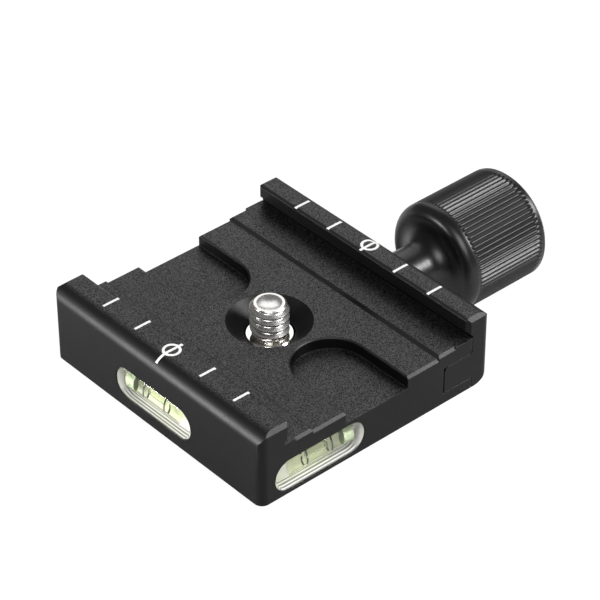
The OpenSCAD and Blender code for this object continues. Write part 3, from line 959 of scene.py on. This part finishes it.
def threaded(name, tree, turn, length, pitch, crest, depth, dimple, columns, material):
    """A threaded rod put in place by a matrix, sizes in millimetres."""
    rows_a_turn = 16
    rows = math.ceil((length + pitch) / pitch * rows_a_turn)
    piece = grown(
        seed_object(name),
        tree,
        {
            "Length": length * MM,
            "Pitch": pitch * MM,
            "Crest radius": crest * MM,
            "Depth": depth * MM,
            "Dimple": dimple * MM,
            "Columns": columns + 1,
            "Rows": rows + 1,
            "Reach": rows * pitch / rows_a_turn * MM,
            "Material": material,
        },
    )
    outward(piece)
    piece.data.transform(turn)
    return smooth(piece, 40.0)


def build_mount_screw(tree):
    """Slotted head with its plain neck, and the thread above the ring."""
    profile = (
        line((0.0, 0.01), (0.0, HEAD_R - 0.45), 1)
        + arc((0.4, HEAD_R - 0.4), 0.4, 180, 90, 6)
        + arc((HEAD_H - 0.2, HEAD_R - 0.2), 0.2, 90, 0, 5)
        + [(HEAD_H, THREAD_R + 0.15)]
        + arc((HEAD_H + 0.15, THREAD_R + 0.15), 0.15, 180, 270, 4)
        + [
            (RING_FOOT_Z - HEAD_Z - 0.03, THREAD_R),
            (RING_FOOT_Z - HEAD_Z, THREAD_R - 0.03),
            (RING_FOOT_Z - HEAD_Z, THREAD_R - 0.5),
            (RING_TOP_Z - HEAD_Z + 0.2, THREAD_R - 0.72),
            (RING_TOP_Z - HEAD_Z + 0.2, 0.01),
        ]
    )
    head = lathe("mount_screw_head", profile, 96, along_z(HEAD_Z), [polished])
    outward(head)
    deep = HEAD_H / 2
    cutter_points = [
        (sx * 2 * HEAD_R * MM, sy * SLOT_W / 2 * MM, z * MM)
        for z in (-CUTTER_ROOM, HEAD_Z + deep)
        for sx, sy in ((-1, -1), (1, -1), (1, 1), (-1, 1))
    ]
    cutter = new_object(
        "slot_cutter",
        cutter_points,
        [(3, 2, 1, 0), (4, 5, 6, 7), (0, 1, 5, 4), (1, 2, 6, 5), (2, 3, 7, 6), (3, 0, 4, 7)],
        [polished],
    )
    cut_with(head, [cutter])
    smooth(head, 30.0)
    rod = threaded(
        "mount_screw_thread",
        tree,
        Matrix.Translation((0.0, 0.0, RING_TOP_Z * MM)),
        SCREW_TOP_Z - RING_TOP_Z,
        THREAD_PITCH,
        THREAD_R,
        THREAD_DEPTH,
        0.5,
        96,
        polished,
    )
    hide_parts("mount_screw")
    for piece in (head, rod):
        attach(piece, "screw")


def build_clamp_stud(tree):
    """Threaded stud, its tip in the body and its other end in the knob."""
    sideways = Matrix.Translation((STUD_TIP_X * MM, 0.0, KNOB_Z * MM)) @ Matrix.Rotation(
        math.radians(90), 4, "Y"
    )
    stud = threaded(
        "clamp_stud_thread",
        tree,
        sideways,
        STUD_END_X - STUD_TIP_X,
        0.8,
        STUD_R,
        0.42,
        0.1,
        48,
        screw_steel,
    )
    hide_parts("clamp_stud")
    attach(stud, "knob")


def knob_profile():
    """Section of the knob: along its axis from the neck, and radius. It runs from the
    bore round the outside to the recess in the outer end and back."""
    total = NECK_L + KNOB_L
    foot = NECK_R + FLARE_R
    front = KNOB_R - SHOULDER_R
    start = (0.0, KNOB_BORE_R)
    points = line(start, (0.0, NECK_R - 0.2), 2)
    points += arc((0.2, NECK_R - 0.2), 0.2, 180, 90, 4)
    points += line((0.5, NECK_R), (NECK_L - FLARE_R, NECK_R), 6)
    points += arc((NECK_L - FLARE_R, foot), FLARE_R, 270, 357, 22)
    points += arc((NECK_L + SHOULDER_R, front), SHOULDER_R, 177, 90, 20)
    knurl_end = total - BAND_L
    points += line((NECK_L + SHOULDER_R + 0.08, KNOB_R), (knurl_end, KNOB_R), 44)
    points += line((knurl_end, KNOB_R), (total - KNOB_CHAMFER - 0.12, KNOB_R), 4)
    points += arc((total - KNOB_CHAMFER - 0.3, KNOB_R - 0.3), 0.3, 90, 45, 3)
    points += arc((total - 0.3, KNOB_R - KNOB_CHAMFER - 0.3), 0.3, 45, 0, 3)
    points += line((total, KNOB_R - KNOB_CHAMFER - 0.5), (total, LOCK_RECESS_R + 0.2), 6)
    points += arc((total - 0.2, LOCK_RECESS_R + 0.2), 0.2, 0, -90, 3)
    points += [
        (total - LOCK_RECESS_L, LOCK_RECESS_R),
        (total - LOCK_RECESS_L, LOCK_THREAD_R),
        (total - LOCK_RECESS_L - 1.0, LOCK_THREAD_R),
        (total - LOCK_RECESS_L - 1.0, KNOB_BORE_R),
    ]
    return points


def build_knob():
    """Turned knob with its pressed flutes."""
    profile = knob_profile()
    knob = lathe("knurled_knob", profile, FLUTES * 8, along_x(0.0, 0.0, 0.0), [])
    total = NECK_L + KNOB_L
    grown(
        knob,
        knurl_tree(),
        {
            "Flutes": FLUTES,
            "Depth": FLUTE_DEPTH * MM,
            "Start": (NECK_L + SHOULDER_R - 0.15) * MM,
            "End": (total - BAND_L) * MM,
            "Run": 0.5 * MM,
            "Least radius": (KNOB_R - 0.8) * MM,
            "Material": knob_skin,
        },
    )
    knob.data.transform(Matrix.Translation((NECK_X * MM, 0.0, KNOB_Z * MM)))
    outward(knob)
    smooth(knob, 40.0)
    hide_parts("clamp_knob")
    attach(knob, "knob")


def build_springs():
    """Return springs round the guide pins, stretched between body and jaw."""
    tree = coil_tree()
    for name, side in (("near", -1), ("far", 1)):
        spring = grown(
            seed_object("return_coil_" + name),
            tree,
            {
                "Turns": float(SPRING_TURNS),
                "Radius": SPRING_R * MM,
                "Length": (SPRING_X1 - SPRING_X0) * MM,
                "Wire radius": WIRE_R * MM,
                "Material": wire,
            },
        )
        place = Matrix.Translation((SPRING_X0 * MM, side * PIN_Y * MM, PIN_Z * MM))
        spring.data.transform(place @ Matrix.Rotation(math.radians(90), 4, "Y"))
        outward(spring)
        smooth(spring, 50.0)
        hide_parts("return_spring_" + name)
        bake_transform(spring)


def stadium(length, height, inset, steps=20):
    """Outline with round ends, as (along, up) points."""
    radius = height / 2 - inset
    half = (length - height) / 2
    points = []
    for side in (1, -1):
        for i in range(steps + 1):
            turn = math.radians(-90 + 180 * i / steps)
            points.append((side * (half + radius * math.cos(turn)), side * radius * math.sin(turn)))
    return points


def build_level(name, place, plug_side, lining):
    """Level window with its spirit and bubble. place turns (along, up, into) into
    metres, and plug_side is the end at which the vial is plugged."""
    loops = []
    for i in range(5):
        turn = math.radians(90 * i / 4)
        inset = LEVEL_ROUNDING * (1 - math.sin(turn))
        depth = LEVEL_SET_BACK + LEVEL_ROUNDING * (1 - math.cos(turn))
        loops.append((inset, depth))
    loops.append((0.0, LEVEL_DEPTH))
    outline = [stadium(LEVEL_L, LEVEL_H, inset) for inset, _ in loops]
    count = len(outline[0])
    points = [place(u, v, loops[i][1]) for i, ring in enumerate(outline) for u, v in ring]
    faces = [tuple(range(count))]
    for i in range(len(loops) - 1):
        for k in range(count):
            n = (k + 1) % count
            faces.append((i * count + k, i * count + n, (i + 1) * count + n, (i + 1) * count + k))
    faces.append(tuple((len(loops) - 1) * count + k for k in range(count)))
    window = new_object(name + "_window", points, faces, [acrylic, lining])
    outward(window)
    into = Vector(place(0, 0, 1)) - Vector(place(0, 0, 0))
    start = Vector(place(0, 0, 0))
    for face in window.data.polygons:
        deep = (face.center - start).dot(into.normalized())
        face.material_index = 1 if deep > 0.5 * MM else 0
    smooth(window, 40.0)
    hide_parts(name + "_block")
    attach(window, "base")

    vial = [(-VIAL_L / 2, 0.01)]
    vial += arc((-VIAL_L / 2 + 0.2, VIAL_R - 0.2), 0.2, 180, 90, 4)
    vial += arc((VIAL_L / 2 - 0.2, VIAL_R - 0.2), 0.2, 90, 0, 8)
    vial += [(VIAL_L / 2, 0.01)]
    spin = lambda a, b, c: place(a, b, LEVEL_DEPTH / 2 + c)
    liquid = lathe(name + "_spirit", vial, 48, spin, [spirit])
    outward(liquid)
    air = [(-BUBBLE_L / 2 + 0.0001, 0.01)]
    air += arc((-BUBBLE_L / 2 + BUBBLE_R, 0.0), BUBBLE_R, 175, 90, 10)
    air += arc((BUBBLE_L / 2 - BUBBLE_R, 0.0), BUBBLE_R, 90, 5, 10)
    air += [(BUBBLE_L / 2 - 0.0001, 0.01)]
    rise = VIAL_R - 0.1
    lift = lambda a, b, c: place(a, b * 0.55 + rise - 0.55 * BUBBLE_R, LEVEL_DEPTH / 2 + c)
    bubble = lathe(name + "_bubble", air, 40, lift, [bubble_skin])
    outward(bubble)
    bubble.data.flip_normals()
    for piece in (liquid, bubble):
        smooth(piece, 50.0)
        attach(piece, "base")
    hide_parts(name + "_liquid")
    ring_arcs(name, place, plug_side)
    start, end = plug_side * VIAL_L / 2, plug_side * (VIAL_L / 2 + PLUG_L)
    stop = [(start, 0.01), (start, VIAL_R), (end, VIAL_R), (end, 0.01)]
    plug = lathe(name + "_stopper", stop, 48, spin, [plug_plastic])
    outward(plug)
    smooth(plug, 50.0)
    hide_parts(name + "_plug")
    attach(plug, "base")


# Stage, light and camera


def soft_box(name, toward, distance, size, radiance):
    """Square lamp at a distance in millimetres that faces the body; radiance is the
    brightness of its face, where white paper in plain light is 1."""
    lamp = bpy.data.lights.new(name, "AREA")
    lamp.shape = "SQUARE"
    lamp.size = size * MM
    lamp.energy = radiance * math.pi * (size * MM) ** 2
    made = bpy.data.objects.new(name, lamp)
    bpy.context.scene.collection.objects.link(made)
    aim = Vector(toward).normalized()
    made.location = Vector((0.008, 0.0, 0.005)) + aim * distance * MM
    made.rotation_mode = "QUATERNION"
    made.rotation_quaternion = aim.to_track_quat("Z", "Y")


def build_stage():
    """Pale floor under the knob, which is the lowest thing."""
    half = 1.5
    floor = new_object(
        "floor",
        [(x * half, y * half, FLOOR_Z * MM) for x, y in ((-1, -1), (1, -1), (1, 1), (-1, 1))],
        [(0, 1, 2, 3)],
        [],
    )
    made = bpy.data.materials.new("pale_floor")
    made.use_nodes = True
    tree = made.node_tree
    tree.nodes.clear()
    place = node(tree, "ShaderNodeTexCoord").outputs["Object"]
    mottle = node(
        tree, "ShaderNodeTexNoise", {"Vector": place, "Scale": per_mm(60.0), "Detail": 2.0}
    ).outputs["Fac"]
    card = node(tree, "ShaderNodeBsdfDiffuse", {"Color": mixed(tree, mottle, "#ebebea", "#f1f1f0")})
    glow = node(tree, "ShaderNodeEmission", {"Color": srgb("#ffffff"), "Strength": 1.08})
    seen = node(tree, "ShaderNodeLightPath").outputs["Is Camera Ray"]
    share = maths(tree, "MULTIPLY", seen, 0.86)
    both = node(tree, "ShaderNodeMixShader", {0: share, 1: card.outputs[0], 2: glow.outputs[0]})
    node(tree, "ShaderNodeOutputMaterial", {"Surface": both.outputs[0]})
    floor.data.materials.append(made)


def build_world():
    """White for the camera and through the clear parts, and a softer fill on the object."""
    world = bpy.data.worlds.new("white_studio")
    world.use_nodes = True
    bpy.context.scene.world = world
    tree = world.node_tree
    tree.nodes.clear()
    rays = node(tree, "ShaderNodeLightPath").outputs
    seen = maths(tree, "MAXIMUM", rays["Is Camera Ray"], rays["Is Transmission Ray"])
    white = node(tree, "ShaderNodeBackground", {"Color": srgb("#ffffff"), "Strength": 1.0})
    fill = node(tree, "ShaderNodeBackground", {"Color": srgb("#ffffff"), "Strength": 0.16})
    both = node(tree, "ShaderNodeMixShader", {0: seen, 1: fill.outputs[0], 2: white.outputs[0]})
    node(tree, "ShaderNodeOutputWorld", {"Surface": both.outputs[0]})


def build_camera():
    """Camera at the photograph's place, found by fitting the body's corners."""
    azimuth, elevation, roll = (math.radians(a) for a in (-41.4, 37.081, -0.138))
    distance, focal, sensor, pixels = 454.214, 2857.166, 36.0, 600
    back = Vector(
        (
            math.sin(azimuth) * math.cos(elevation),
            -math.cos(azimuth) * math.cos(elevation),
            math.sin(elevation),
        )
    )
    level = Vector((math.cos(azimuth), math.sin(azimuth), 0.0))
    rise = back.cross(level)
    right = math.cos(roll) * level + math.sin(roll) * rise
    up = -math.sin(roll) * level + math.cos(roll) * rise
    data = bpy.data.cameras.new("camera")
    data.sensor_width = sensor
    data.lens = sensor * focal / pixels
    data.clip_start, data.clip_end = 0.01, 10.0
    camera = bpy.data.objects.new("camera", data)
    bpy.context.scene.collection.objects.link(camera)
    place = (4.769 * right + 10.564 * up + distance * back) * MM
    turn = Matrix((right, up, back)).transposed()
    camera.matrix_world = Matrix.Translation(place) @ turn.to_4x4()
    bpy.context.scene.camera = camera


build_camera()
build_world()
build_stage()
soft_box("front_right_box", (0.53, -0.60, 0.60), 520.0, 170.0, 30.0)
soft_box("low_left_box", (-0.888, 0.442, 0.126), 215.0, 60.0, 38.0)
soft_box("back_right_box", (0.53, 0.60, 0.60), 620.0, 480.0, 1.4)
soft_box("camera_side_box", (-0.60, -0.53, 0.60), 700.0, 350.0, 8.0)

dress(dowel, "guide_pin_near", "guide_pin_far")
dress(nylon, "thrust_washer")
dress(screw_steel, "knob_lock_screw")
dress(ring_steel, "retaining_ring")

rounded_body("finished_base", "base_block", FIXED_OUT, FIXED_TOP_R, FIXED_CORNER_R, "base")
rounded_body("finished_jaw", "moving_jaw", JAW_OUT, JAW_TOP_R, JAW_CORNER_R, "jaw")
jaw_lines("fixed_jaw_lines", "fixed_jaw_marks", FIXED_NOSE, FIXED_OUT, FIXED_TOP_R, "base")
jaw_lines("moving_jaw_lines", "moving_jaw_marks", JAW_NOSE, JAW_OUT, JAW_TOP_R, "jaw")
screw_thread = thread_tree()
build_mount_screw(screw_thread)
build_clamp_stud(screw_thread)
build_knob()
build_springs()
build_level(
    "side_level",
    lambda u, v, w: ((-23.5 + w) * MM, (0.4 + u) * MM, (4.85 + v) * MM),
    1,
    side_lining,
)
build_level(
    "end_level",
    lambda u, v, w: ((-11.5 - u) * MM, (-25.0 + w) * MM, (3.5 + v) * MM),
    -1,
    end_lining,
)

view = bpy.context.scene.view_settings
view.view_transform = "Standard"
